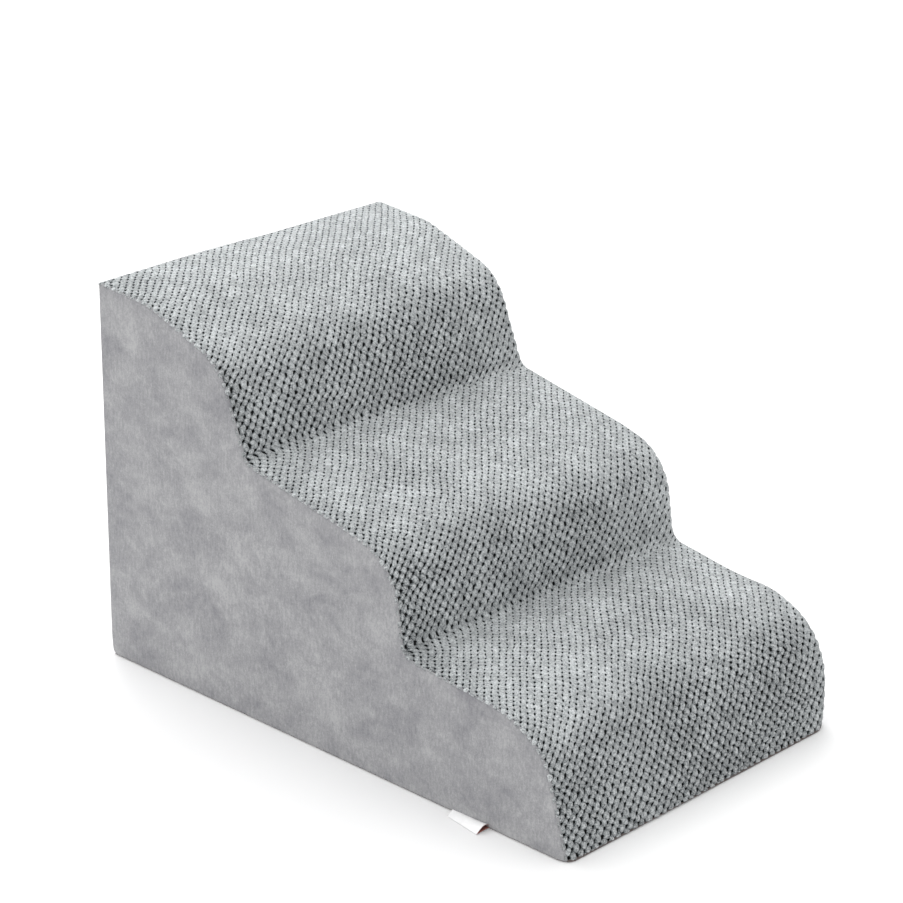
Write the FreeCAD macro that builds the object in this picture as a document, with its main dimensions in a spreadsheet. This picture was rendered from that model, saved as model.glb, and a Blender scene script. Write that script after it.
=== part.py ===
import FreeCAD, Part

import math
import os

import Sketcher

# Stepped foam stair for small dogs: a foam block cut to three rounded steps, a softer foam layer
# glued over the steps, and a zipped cover sewn from flat panels.
# Frame: +Z up, X across the steps, the low end faces -Y and the tall back faces +Y.
# The origin is the centre of the footprint, on the floor. Millimetres and degrees.

doc = FreeCAD.newDocument("dog_stair")
sheet = doc.addObject("Spreadsheet::Sheet", "sizes")

SIZES = [
    # the covered block
    ("block_length", 625.0),
    ("block_width", 388.0),
    ("block_height", 400.0),
    # the first step is a little taller and shorter than the two that share what is left
    ("first_run", 206.0),
    ("first_rise", 137.0),
    # each riser's lean from upright, the slope behind its nose, and the tread's slope
    ("lean_one", 17.0),
    ("lean_two", 9.0),
    ("lean_three", 21.5),
    ("brow_one", 26.0),
    ("brow_two", 16.0),
    ("brow_three", 19.5),
    ("tread_one", 5.5),
    ("tread_two", 11.5),
    ("tread_three", 4.5),
    # length of each tread behind its brow
    ("flat_one", 128.0),
    ("flat_two", 140.0),
    ("flat_three", 74.0),
    # rounding along the steps, measured on the outside of the cover
    ("nose_radius", 62.0),
    ("brow_radius", 90.0),
    ("valley_radius", 15.0),
    # cloth and foam thicknesses
    ("plush_thick", 3.0),
    ("side_thick", 1.6),
    ("back_thick", 1.6),
    ("base_thick", 1.8),
    ("base_corner", 10.0),
    ("comfort_thick", 20.0),
    # room between the foam and the back for the slider's inner plate
    ("back_room", 3.0),
    # zip across the back
    ("zip_height", 44.0),
    ("zip_window", 12.0),
    ("tape_width", 14.0),
    ("tape_thick", 0.6),
    ("chain_length", 344.0),
    ("coil_width", 2.9),
    ("coil_thick", 2.2),
    ("coil_gap", 1.4),
    ("coil_round", 0.7),
    ("stop_length", 3.0),
    ("stop_clear", 0.5),
    # slider and pull
    ("slider_length", 13.0),
    ("slider_wall", 1.0),
    ("slider_clear", 0.3),
    ("slider_round", 2.0),
    ("post_length", 3.0),
    ("post_clear", 0.3),
    ("bridge_length", 8.0),
    ("bridge_width", 2.0),
    ("bridge_wall", 1.1),
    ("bridge_round", 0.88),
    ("pin_radius", 0.75),
    ("pin_clear", 0.35),
    ("pull_length", 26.0),
    ("pull_width", 8.0),
    ("pull_thick", 1.2),
    ("pull_round", 2.4),
    ("eye_length", 7.0),
    ("arm_width", 1.8),
    # lockstitches along both sides of the zip
    ("stitch_length", 3.0),
    ("stitch_gap", 1.0),
    ("stitch_thick", 0.5),
    ("stitch_edge", 3.0),
    # folded ribbon label in the left bottom seam
    ("label_width", 46.0),
    ("label_reach", 23.0),
    ("label_front", 96.0),
    ("ribbon_thick", 0.45),
    ("label_thick", 2.0),
    ("fold_round", 0.98),
]

for row, (alias, value) in enumerate(SIZES, start=1):
    sheet.set("A%d" % row, alias)
    sheet.set("B%d" % row, repr(value))
    sheet.setAlias("B%d" % row, alias)
doc.recompute()

# How far a cutting block runs past the piece that it cuts.
OVERRUN = 20.0


def size(alias):
    """A driving dimension as a plain number."""
    return float(getattr(sheet, alias))


def bind(obj, prop, formula):
    """Tie a property to the sheet. In a formula, $name is a cell."""
    obj.setExpression(prop, formula.replace("$", "sizes."))


def label(obj, name):
    obj.Label = name
    return obj


# ---------------------------------------------------------------------------------------------
# The stepped outline
# ---------------------------------------------------------------------------------------------

STEPS = ("one", "two", "three")

# Feet of the risers and the top rear corner, as formulas in the row's frame.
FEET = [
    ("(-$block_length / 2)", "(0)"),
    ("($first_run - $block_length / 2)", "($first_rise * 1)"),
    ("(($block_length + $first_run) / 2 - $block_length / 2)", "(($block_height + $first_rise) / 2)"),
    ("($block_length / 2)", "($block_height * 1)"),
]


def number(formula):
    """Value of one of the formulas above, with the sheet's present sizes."""
    probe = doc.getObject("probe") or doc.addObject("App::FeaturePython", "probe")
    if not hasattr(probe, "Value"):
        probe.addProperty("App::PropertyFloat", "Value")
    probe.setExpression("Value", formula.replace("$", "sizes."))
    probe.recompute()
    return float(probe.Value)


def deg(alias):
    return "($%s * 1 deg)" % alias


def brow_point(step, inset):
    """Vertex where the slope behind the nose meets the tread, moved in by inset."""
    name = STEPS[step]
    foot_y, foot_z = FEET[step + 1]
    tread = deg("tread_" + name)
    brow = deg("brow_" + name)
    share = "%s / (1 + cos(%s - %s))" % (inset, brow, tread)
    along = "%s - $flat_%s * cos(%s) + %s * (sin(%s) + sin(%s))"
    up = "%s - $flat_%s * sin(%s) - %s * (cos(%s) + cos(%s))"
    return (
        along % (foot_y, name, tread, share, brow, tread),
        up % (foot_z, name, tread, share, brow, tread),
    )


def foot_point(step, inset):
    """Vertex in the valley in front of riser number step, moved in by inset."""
    lean = deg("lean_" + STEPS[step])
    tread = deg("tread_" + STEPS[step - 1])
    foot_y, foot_z = FEET[step]
    share = "%s / (1 + sin(%s + %s))" % (inset, lean, tread)
    return (
        "%s + %s * (cos(%s) + sin(%s))" % (foot_y, share, lean, tread),
        "%s - %s * (sin(%s) + cos(%s))" % (foot_z, share, lean, tread),
    )


def front_point(inset, base):
    """Where the first riser meets the base."""
    lean = deg("lean_one")
    return ("%s + %s / cos(%s) + (%s) * tan(%s)" % (FEET[0][0], inset, lean, base, lean), base)


def rear_point(inset, back):
    """Where the last tread meets the back."""
    tread = deg("tread_three")
    up = "%s - %s / cos(%s) + (%s - %s) * tan(%s)"
    return (back, up % (FEET[3][1], inset, tread, back, FEET[3][0], tread))


def nose_guess(foot, brow, step):
    """Starting place of a nose vertex, which the sketch then finds from its two angles."""
    lean = math.tan(math.radians(size("lean_" + STEPS[step])))
    slope = math.tan(math.radians(size("brow_" + STEPS[step])))
    z = (brow[1] - (brow[0] - foot[0] + foot[1] * lean) * slope) / (1.0 - lean * slope)
    return (foot[0] + (z - foot[1]) * lean, z)


def stepped_block(name, inset, width, centre="0", base="0", back=FEET[3][0]):
    """A block with the stepped outline moved in by inset, filleted along its noses and valleys.

    width and centre are along X, base is the height of its underside and back the place of its
    rear face. All are formulas.
    """
    body = doc.addObject("PartDesign::Body", name)
    sketch = body.newObject("Sketcher::SketchObject", name + "_outline")
    plane = [f for f in body.Origin.OriginFeatures if f.Role == "YZ_Plane"][0]
    sketch.AttachmentSupport = (plane, [""])
    sketch.MapMode = "FlatFace"

    # Vertices in order from the front of the base. None marks a nose, which two angles place.
    fixed = [front_point(inset, base)]
    for step in range(3):
        fixed.append(None)
        fixed.append(brow_point(step, inset))
        if step < 2:
            fixed.append(foot_point(step + 1, inset))
    fixed.append(rear_point(inset, back))
    fixed.append((back, base))

    points = [None if f is None else (number(f[0]), number(f[1])) for f in fixed]
    noses = [i for i, p in enumerate(points) if p is None]
    for step, i in enumerate(noses):
        points[i] = nose_guess(points[i - 1], points[i + 1], step)

    count = len(points)
    for i, start in enumerate(points):
        end = points[(i + 1) % count]
        sketch.addGeometry(
            Part.LineSegment(FreeCAD.Vector(*start, 0), FreeCAD.Vector(*end, 0)), False
        )
    for i in range(count):
        sketch.addConstraint(Sketcher.Constraint("Coincident", i, 2, (i + 1) % count, 1))
    for i, place in enumerate(fixed):
        if place is None:
            continue
        for kind, formula, value in (
            ("DistanceX", place[0], points[i][0]),
            ("DistanceY", place[1], points[i][1]),
        ):
            index = sketch.addConstraint(Sketcher.Constraint(kind, -1, 1, i, 1, value))
            bind(sketch, "Constraints[%d]" % index, formula)
    for step, i in enumerate(noses):
        riser = math.radians(90.0 - size("lean_" + STEPS[step]))
        slope = math.radians(size("brow_" + STEPS[step]))
        for line, value, formula in (
            (i - 1, riser, "90 deg - %s" % deg("lean_" + STEPS[step])),
            (i, slope, deg("brow_" + STEPS[step])),
        ):
            index = sketch.addConstraint(Sketcher.Constraint("Angle", line, value))
            bind(sketch, "Constraints[%d]" % index, formula)
    doc.recompute()

    pad = body.newObject("PartDesign::Pad", name + "_width")
    pad.Profile = sketch
    pad.Midplane = True
    bind(pad, "Length", width)
    bind(body, "Placement.Base.x", centre)
    doc.recompute()

    corners = [(g.StartPoint.x, g.StartPoint.y) for g in sketch.Geometry]
    rounds = [
        ("noses", noses, "$nose_radius - %s" % inset),
        ("brows", [i + 1 for i in noses], "$brow_radius - %s" % inset),
        ("valleys", [i + 2 for i in noses[:2]], "$valley_radius + %s" % inset),
    ]
    last = pad
    for kind, wanted, radius in rounds:
        fillet = body.newObject("PartDesign::Fillet", name + "_" + kind)
        fillet.Base = (last, [edge_at(last.Shape, corners[i]) for i in wanted])
        bind(fillet, "Radius", radius)
        doc.recompute()
        last = fillet
    return body


def edge_at(shape, corner):
    """Name of the edge that runs along X through one corner of the outline."""
    for i, edge in enumerate(shape.Edges, start=1):
        box = edge.BoundBox
        if box.YLength + box.ZLength > 1e-4:
            continue
        if abs(box.YMin - corner[0]) + abs(box.ZMin - corner[1]) < 1e-3:
            return "Edge%d" % i
    raise ValueError("no edge at %r" % (corner,))


def box(name, low, high):
    """A Part::Box from formulas for its low and high corners."""
    made = doc.addObject("Part::Box", name)
    for prop, axis, lo, hi in zip(("Length", "Width", "Height"), "xyz", low, high):
        bind(made, prop, "(%s) - (%s)" % (hi, lo))
        bind(made, "Placement.Base." + axis, lo)
    return made


def cut(name, base, tool):
    made = doc.addObject("Part::Cut", name)
    made.Base = base
    made.Tool = tool
    return made


def common(name, first, second):
    made = doc.addObject("Part::Common", name)
    made.Base = first
    made.Tool = second
    return made


def fuse(name, shapes):
    made = doc.addObject("Part::MultiFuse", name)
    made.Shapes = shapes
    made.Refine = True
    return made


def rounded(name, base, wanted, radius):
    """Part::Fillet on the edges of base that wanted(edge) picks."""
    doc.recompute()
    made = doc.addObject("Part::Fillet", name)
    made.Base = base
    picked = [i for i, e in enumerate(base.Shape.Edges, start=1) if wanted(e)]
    made.Edges = [(i, radius, radius) for i in picked]
    return made


def runs_along(axis):
    """Test for a straight edge along x, y or z."""

    def test(edge):
        span = edge.BoundBox
        lengths = {"x": span.XLength, "y": span.YLength, "z": span.ZLength}
        along = lengths.pop(axis)
        return along > 1e-4 and max(lengths.values()) < 1e-4

    return test


def runs_at(axis, place):
    """Test for a straight edge along y or z that stands at one place in x, given by a formula."""
    along = runs_along(axis)
    x = number(place)

    def test(edge):
        return along(edge) and abs(edge.BoundBox.XMin - x) < 1e-3

    return test


# Places that several pieces share
INNER_WIDTH = "($block_width - 2 * $side_thick)"
BACK_FACE = "($block_length / 2)"
BACK_INSIDE = "($block_length / 2 - $back_thick)"
FOAM_BACK = "($block_length / 2 - $back_thick - $back_room)"
BASE_TOP = "($base_thick * 1)"
PAST_BACK = "($block_length / 2 + %g)" % OVERRUN
UNDER_BASE = "(-%g)" % OVERRUN
UNDER_PLUSH = "$plush_thick"
UNDER_COMFORT = "($plush_thick + $comfort_thick)"

nodes = []

# ---------------------------------------------------------------------------------------------
# Foam
# ---------------------------------------------------------------------------------------------

foam_core = stepped_block("foam_core", UNDER_COMFORT, INNER_WIDTH, base=BASE_TOP, back=FOAM_BACK)
nodes.append(label(foam_core, "foam_core"))

comfort_block = stepped_block("comfort_block", UNDER_PLUSH, INNER_WIDTH, base=BASE_TOP, back=FOAM_BACK)
core_room = stepped_block(
    "core_room", UNDER_COMFORT, "%s + %g" % (INNER_WIDTH, OVERRUN), base=UNDER_BASE, back=PAST_BACK
)
nodes.append(label(cut("comfort", comfort_block, core_room), "comfort_layer"))

# ---------------------------------------------------------------------------------------------
# Cover panels
# ---------------------------------------------------------------------------------------------

plush_block = stepped_block("plush_block", "0", INNER_WIDTH, base=BASE_TOP)
foam_room = stepped_block(
    "foam_room", UNDER_PLUSH, "%s + %g" % (INNER_WIDTH, OVERRUN), base=UNDER_BASE, back=PAST_BACK
)
nodes.append(label(cut("plush", plush_block, foam_room), "tread_panel"))

for side, sign in (("left", "-1"), ("right", "1")):
    panel = stepped_block(
        "side_" + side,
        "0",
        "$side_thick",
        centre="%s * ($block_width - $side_thick) / 2" % sign,
        base=BASE_TOP,
    )
    nodes.append(label(panel, "side_panel_" + side))

base_blank = box(
    "base_blank",
    ("-$block_width / 2", "-$block_length / 2", "0"),
    ("$block_width / 2", BACK_FACE, BASE_TOP),
)
base_panel = rounded("base", base_blank, runs_along("z"), size("base_corner"))
nodes.append(label(base_panel, "base_panel"))

lower = box(
    "back_lower",
    ("-%s / 2" % INNER_WIDTH, BACK_INSIDE, BASE_TOP),
    ("%s / 2" % INNER_WIDTH, BACK_FACE, "$zip_height - $zip_window / 2"),
)
nodes.append(label(lower, "back_panel_lower"))

upper_blank = box(
    "back_blank",
    ("-%s / 2" % INNER_WIDTH, BACK_INSIDE, "$zip_height + $zip_window / 2"),
    ("%s / 2" % INNER_WIDTH, BACK_FACE, "$block_height + %g" % OVERRUN),
)
upper = common("back_upper", upper_blank, foam_room)
nodes.append(label(upper, "back_panel_upper"))

# ---------------------------------------------------------------------------------------------
# Zip: two tapes behind the panels' edges, two coils on them, and the stops
# ---------------------------------------------------------------------------------------------


def band(sign, near, far):
    """Low and high heights of something between near and far from the zip's centre line."""
    if sign > 0:
        return "$zip_height + %s" % near, "$zip_height + %s" % far
    return "$zip_height - %s" % far, "$zip_height - %s" % near


COIL_FAR = "($coil_gap / 2 + $coil_width)"
COIL_TOP = "(%s + $coil_thick)" % BACK_INSIDE

for side, sign in (("upper", 1), ("lower", -1)):
    low, high = band(sign, "$coil_gap / 2", "($coil_gap / 2 + $tape_width)")
    tape = box(
        "tape_" + side,
        ("-%s / 2" % INNER_WIDTH, BACK_INSIDE + " - $tape_thick", low),
        ("%s / 2" % INNER_WIDTH, BACK_INSIDE, high),
    )
    nodes.append(label(tape, "zip_tape_" + side))

    low, high = band(sign, "$coil_gap / 2", COIL_FAR)
    blank = box(
        "coil_blank_" + side,
        ("-$chain_length / 2", BACK_INSIDE, low),
        ("$chain_length / 2", COIL_TOP, high),
    )
    coil = rounded("coil_" + side, blank, runs_along("x"), size("coil_round"))
    nodes.append(label(coil, "zip_coil_" + side))

top_stops = []
for side, sign in (("upper", 1), ("lower", -1)):
    low, high = band(sign, "$coil_gap / 2", COIL_FAR)
    top_stops.append(
        box(
            "top_stop_" + side,
            ("$chain_length / 2", BACK_INSIDE, low),
            ("$chain_length / 2 + $stop_length", COIL_TOP, high),
        )
    )
stops = doc.addObject("Part::Compound", "top_stops")
stops.Links = top_stops
nodes.append(label(stops, "zip_top_stops"))

bottom_blank = box(
    "bottom_stop_blank",
    ("-$chain_length / 2 - $stop_length", BACK_INSIDE, "$zip_height - %s" % COIL_FAR),
    ("-$chain_length / 2", COIL_TOP, "$zip_height + %s" % COIL_FAR),
)
bottom_stop = rounded("bottom_stop", bottom_blank, runs_along("x"), size("coil_round"))
nodes.append(label(bottom_stop, "zip_bottom_stop"))

# ---------------------------------------------------------------------------------------------
# Slider, parked at the closed end, and its pull
# ---------------------------------------------------------------------------------------------

SLIDER_END = "($chain_length / 2 - $stop_clear)"
SLIDER_START = "(%s - $slider_length)" % SLIDER_END
SLIDER_MID = "(%s - $slider_length / 2)" % SLIDER_END
PLATE_IN = "(%s + $slider_clear)" % COIL_TOP
PLATE_OUT = "(%s + $slider_wall)" % PLATE_IN
INNER_OUT = "(%s - $tape_thick - $slider_clear)" % BACK_INSIDE
INNER_IN = "(%s - $slider_wall)" % INNER_OUT
SLOT_HALF = "(%s + $slider_clear)" % COIL_FAR
SLIDER_HALF = "(%s + $slider_wall)" % SLOT_HALF
BRIDGE_ROOM = "(2 * $pin_radius + 2 * $pin_clear)"
PIN_OUT = "(%s + $pin_radius + $pin_clear)" % PLATE_OUT

plate_blank = box(
    "slider_plate_blank",
    (SLIDER_START, PLATE_IN, "$zip_height - %s" % SLIDER_HALF),
    (SLIDER_END, PLATE_OUT, "$zip_height + %s" % SLIDER_HALF),
)
plate = rounded("slider_plate", plate_blank, runs_along("y"), size("slider_round"))
inner_blank = box(
    "slider_inner_blank",
    (SLIDER_START, INNER_IN, "$zip_height - %s" % SLIDER_HALF),
    (SLIDER_END, INNER_OUT, "$zip_height + %s" % SLIDER_HALF),
)
inner = rounded("slider_inner", inner_blank, runs_along("y"), size("slider_round"))
flanges = []
for side, sign in (("upper", 1), ("lower", -1)):
    low, high = band(sign, SLOT_HALF, SLIDER_HALF)
    flanges.append(
        box(
            "slider_flange_" + side,
            (SLIDER_START + " + $slider_round", BACK_INSIDE + " + $slider_clear", low),
            (SLIDER_END + " - $slider_round", PLATE_OUT, high),
        )
    )
post = box(
    "slider_post",
    (SLIDER_END + " - $slider_round - $post_length", INNER_IN, "$zip_height - $coil_gap / 2 + $post_clear"),
    (SLIDER_END + " - $slider_round", PLATE_OUT, "$zip_height + $coil_gap / 2 - $post_clear"),
)
arch = box(
    "bridge_arch",
    (
        SLIDER_MID + " - $bridge_length / 2",
        PLATE_IN + " + $slider_wall / 2",
        "$zip_height - $bridge_width / 2",
    ),
    (
        SLIDER_MID + " + $bridge_length / 2",
        "%s + %s + $bridge_wall" % (PLATE_OUT, BRIDGE_ROOM),
        "$zip_height + $bridge_width / 2",
    ),
)
arch_round = rounded("bridge_round", arch, runs_along("z"), size("bridge_round"))
eyelet = box(
    "bridge_eyelet",
    (SLIDER_MID + " - $bridge_length / 2 + $bridge_wall", PLATE_OUT, "$zip_height - $bridge_width"),
    (
        SLIDER_MID + " + $bridge_length / 2 - $bridge_wall",
        "%s + %s" % (PLATE_OUT, BRIDGE_ROOM),
        "$zip_height + $bridge_width",
    ),
)
bridge = cut("bridge", arch_round, eyelet)
slider = fuse("slider", [plate, inner, post, bridge] + flanges)
nodes.append(label(slider, "zip_slider"))

# The pull lies along the chain. Its pin passes under the bridge, between two arms.
pin = doc.addObject("Part::Cylinder", "pull_pin")
bind(pin, "Radius", "$pin_radius")
bind(pin, "Height", "$pull_width")
bind(pin, "Placement.Base.x", SLIDER_MID)
bind(pin, "Placement.Base.y", PIN_OUT)
bind(pin, "Placement.Base.z", "$zip_height - $pull_width / 2")
tab_blank = box(
    "pull_blank",
    (SLIDER_MID + " - $pull_length", PIN_OUT + " - $pull_thick / 2", "$zip_height - $pull_width / 2"),
    (SLIDER_MID, PIN_OUT + " + $pull_thick / 2", "$zip_height + $pull_width / 2"),
)
far_end = SLIDER_MID + " - $pull_length"
tab = rounded("pull_tab", tab_blank, runs_at("y", far_end), size("pull_round"))
eye = box(
    "pull_eye",
    (
        SLIDER_MID + " - $eye_length",
        PIN_OUT + " - $pin_radius - $pull_thick",
        "$zip_height - $pull_width / 2 + $arm_width",
    ),
    (
        SLIDER_MID + " + $pull_thick",
        PIN_OUT + " + $pin_radius + $pull_thick",
        "$zip_height + $pull_width / 2 - $arm_width",
    ),
)
pull = fuse("pull", [cut("pull_frame", tab, eye), pin])
nodes.append(label(pull, "zip_pull"))

# ---------------------------------------------------------------------------------------------
# Lockstitches that hold the tapes
# ---------------------------------------------------------------------------------------------


STITCH_PITCH = "($stitch_length + $stitch_gap)"
STITCH_COUNT = "floor((%s - 2 * $stitch_length) / %s)" % (INNER_WIDTH, STITCH_PITCH)


def stitch_row(name, height):
    """A row of separate stitches across the back, at a height given by a formula."""
    body = doc.addObject("PartDesign::Body", name)
    body.AllowCompound = True
    sketch = body.newObject("Sketcher::SketchObject", name + "_outline")
    plane = [f for f in body.Origin.OriginFeatures if f.Role == "XY_Plane"][0]
    sketch.AttachmentSupport = (plane, [""])
    sketch.MapMode = "FlatFace"
    long = size("stitch_length")
    thick = size("stitch_thick")
    corners = [(0, 0), (long, 0), (long, thick), (0, thick)]
    for i, start in enumerate(corners):
        end = corners[(i + 1) % 4]
        sketch.addGeometry(Part.LineSegment(FreeCAD.Vector(*start, 0), FreeCAD.Vector(*end, 0)), False)
    for i in range(4):
        sketch.addConstraint(Sketcher.Constraint("Coincident", i, 2, (i + 1) % 4, 1))
    for kind, line in (("Horizontal", 0), ("Vertical", 1), ("Horizontal", 2), ("Vertical", 3)):
        sketch.addConstraint(Sketcher.Constraint(kind, line))
    sketch.addConstraint(Sketcher.Constraint("Coincident", 0, 1, -1, 1))
    across = sketch.addConstraint(Sketcher.Constraint("DistanceX", 0, 1, 0, 2, long))
    bind(sketch, "Constraints[%d]" % across, "$stitch_length")
    deep = sketch.addConstraint(Sketcher.Constraint("DistanceY", 1, 1, 1, 2, thick))
    bind(sketch, "Constraints[%d]" % deep, "$stitch_thick")
    doc.recompute()
    pad = body.newObject("PartDesign::Pad", name + "_pad")
    pad.Profile = sketch
    bind(pad, "Length", "$stitch_thick")
    doc.recompute()
    row = body.newObject("PartDesign::LinearPattern", name + "_pattern")
    row.Originals = [pad]
    row.Direction = (sketch, ["H_Axis"])
    row.Mode = "Spacing"
    bind(row, "Offset", STITCH_PITCH)
    bind(row, "Occurrences", STITCH_COUNT)
    body.Tip = row
    bind(body, "Placement.Base.x", "-%s * %s / 2" % (STITCH_PITCH, STITCH_COUNT))
    bind(body, "Placement.Base.y", BACK_FACE)
    bind(body, "Placement.Base.z", height)
    doc.recompute()
    return body


upper_row = stitch_row("stitches_upper", "$zip_height + $zip_window / 2 + $stitch_edge")
nodes.append(label(upper_row, "zip_stitches_upper"))
lower_row = stitch_row("stitches_lower", "$zip_height - $zip_window / 2 - $stitch_edge - $stitch_thick")
nodes.append(label(lower_row, "zip_stitches_lower"))

# ---------------------------------------------------------------------------------------------
# Folded ribbon label: a flat loop that leaves the seam between the left side and the base
# ---------------------------------------------------------------------------------------------

LABEL_ROOT = "(-$block_width / 2)"
LABEL_NEAR = "($label_front - $block_length / 2)"
LABEL_LOW = "($base_thick / 2)"

loop = box(
    "label_loop",
    (LABEL_ROOT + " - $label_reach", LABEL_NEAR, LABEL_LOW),
    (LABEL_ROOT, LABEL_NEAR + " + $label_width", LABEL_LOW + " + $label_thick"),
)
fold = LABEL_ROOT + " - $label_reach"
loop_round = rounded("label_fold", loop, runs_at("y", fold), size("fold_round"))
hollow = box(
    "label_hollow",
    (
        LABEL_ROOT + " - $label_reach + $ribbon_thick",
        LABEL_NEAR + " - $ribbon_thick",
        LABEL_LOW + " + $ribbon_thick",
    ),
    (
        LABEL_ROOT + " + $ribbon_thick",
        LABEL_NEAR + " + $label_width + $ribbon_thick",
        LABEL_LOW + " + $label_thick - $ribbon_thick",
    ),
)
nodes.append(label(cut("label", loop_round, hollow), "side_label"))

# ---------------------------------------------------------------------------------------------
# Checks, then one file per piece
# ---------------------------------------------------------------------------------------------

doc.recompute()
for obj in doc.Objects:
    if "Invalid" in obj.State or "Error" in obj.State:
        raise RuntimeError("%s did not compute: %s" % (obj.Name, obj.State))
for node in nodes:
    if node.Shape.isNull() or not node.Shape.isValid():
        raise RuntimeError("%s has no valid shape" % node.Label)

os.makedirs("parts", exist_ok=True)
for node in nodes:
    node.Shape.exportStep("parts/%s.step" % node.Label)
    print("%-20s %3d solid(s) %14.1f mm3" % (node.Label, len(node.Shape.Solids), node.Shape.Volume))
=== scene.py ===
import math

import bmesh
import bpy
import numpy as np
from mathutils import Matrix, Vector, geometry


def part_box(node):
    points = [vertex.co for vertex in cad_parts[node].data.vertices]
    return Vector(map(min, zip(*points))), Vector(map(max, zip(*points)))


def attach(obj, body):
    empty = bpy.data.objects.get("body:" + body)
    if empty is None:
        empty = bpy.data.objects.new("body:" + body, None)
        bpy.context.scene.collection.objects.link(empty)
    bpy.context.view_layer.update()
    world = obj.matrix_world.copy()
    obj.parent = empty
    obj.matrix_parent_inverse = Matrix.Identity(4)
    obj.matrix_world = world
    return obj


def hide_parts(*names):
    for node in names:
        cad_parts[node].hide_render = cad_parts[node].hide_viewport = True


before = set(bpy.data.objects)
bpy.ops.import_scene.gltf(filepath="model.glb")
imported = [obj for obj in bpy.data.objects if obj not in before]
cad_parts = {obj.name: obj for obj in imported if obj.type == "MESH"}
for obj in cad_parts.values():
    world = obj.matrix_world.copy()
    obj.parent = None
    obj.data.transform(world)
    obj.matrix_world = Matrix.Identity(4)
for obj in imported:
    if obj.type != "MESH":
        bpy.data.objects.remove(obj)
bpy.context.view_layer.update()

# Stepped foam stair for small dogs, in a zipped cover: corn-kernel plush over the steps,
# micro-suede sides and back, a grippy base cloth and a folded ribbon label.
# Metres. +Z up, X across the steps, the low nose faces -Y and the tall back +Y.

MM = 0.001
ROOT = "stair"
rng = np.random.default_rng(20)

# ---- Sizes: from the frame where it has them, the rest repeated from the part ----

BASE_LOW, BASE_HIGH = (Vector(c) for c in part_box("base_panel"))
HALF_WIDTH = BASE_HIGH.x
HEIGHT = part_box("side_panel_left")[1][2]
BASE_TOP = BASE_HIGH.z
BACK = BASE_HIGH.y
FRONT = BASE_LOW.y

# The first valley, from the front foot
FIRST_RUN = 206 * MM
FIRST_RISE = 137 * MM
# For each step, in degrees: how far its riser leans back, and how steep its brow and its tread are
LEANS = (17.0, 9.0, 21.5)
BROWS = (26.0, 16.0, 19.5)
TREADS = (5.5, 11.5, 4.5)
# Length of each tread behind its brow
FLATS = (128 * MM, 140 * MM, 74 * MM)
NOSE_RADIUS = 62 * MM
BROW_RADIUS = 90 * MM
VALLEY_RADIUS = 15 * MM

# ---- Camera, floor and light ----


def make_camera():
    """A long lens from the front left, a little above the top step, rolled by half a degree."""
    data = bpy.data.cameras.new("view")
    data.lens = 119.8
    data.sensor_width = 36.0
    data.clip_start = 0.05
    data.clip_end = 60.0
    camera = bpy.data.objects.new("view", data)
    bpy.context.collection.objects.link(camera)
    place = (-1.971, -1.856, 1.330)
    azimuth, elevation, roll = (math.radians(a) for a in (-46.43, 21.66, 0.47))
    camera.matrix_world = (
        Matrix.Translation(place)
        @ Matrix.Rotation(azimuth, 4, "Z")
        @ Matrix.Rotation(math.pi / 2 - elevation, 4, "X")
        @ Matrix.Rotation(roll, 4, "Z")
    )
    bpy.context.scene.camera = camera


def area_light(name, place, target, size, watts):
    """A white disk lamp aimed at a target."""
    data = bpy.data.lights.new(name, "AREA")
    data.shape = "DISK"
    data.size = size
    data.energy = watts
    lamp = bpy.data.objects.new(name, data)
    lamp.location = place
    lamp.rotation_euler = (Vector(target) - Vector(place)).to_track_quat("-Z", "Y").to_euler()
    bpy.context.collection.objects.link(lamp)


# ---- Materials ----


def linear(code):
    """sRGB hex colour as linear RGBA."""
    parts = [int(code[i:i + 2], 16) / 255 for i in (1, 3, 5)]
    return [c / 12.92 if c <= 0.04045 else ((c + 0.055) / 1.055) ** 2.4 for c in parts] + [1.0]


def put(tree, node, sockets):
    """Fills a node's inputs, each with a value, another node's output or its first output."""
    for key, value in sockets.items():
        if isinstance(value, bpy.types.Node):
            value = value.outputs[0]
        if isinstance(value, bpy.types.NodeSocket):
            tree.links.new(value, node.inputs[key])
        else:
            node.inputs[key].default_value = value


def add(tree, kind, sockets, stops=(), **settings):
    """A node with its settings, its filled inputs and, if it has them, its (place, hex colour) stops."""
    made = tree.nodes.new(kind)
    for key, value in settings.items():
        setattr(made, key, value)
    put(tree, made, sockets)
    if stops:
        first, *between, last = stops
        for end, (place, code) in zip(made.color_ramp.elements, (first, last)):
            end.position, end.color = place, linear(code)
        for place, code in between:
            made.color_ramp.elements.new(place).color = linear(code)
    return made


def start(name):
    """A new material: its tree, its Principled shader and the object's own coordinates."""
    made = bpy.data.materials.new(name)
    made.use_nodes = True
    tree = made.node_tree
    return made, tree, tree.nodes["Principled BSDF"], add(tree, "ShaderNodeTexCoord", {}).outputs["Object"]


def per(size_mm):
    """Texture scale, in turns per metre, for a pattern that repeats every size_mm."""
    return 1000.0 / size_mm


def wave(size_mm):
    """Wave texture scale for bands size_mm apart: that texture turns 20 radians in each unit."""
    return per(size_mm) * math.tau / 20


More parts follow.
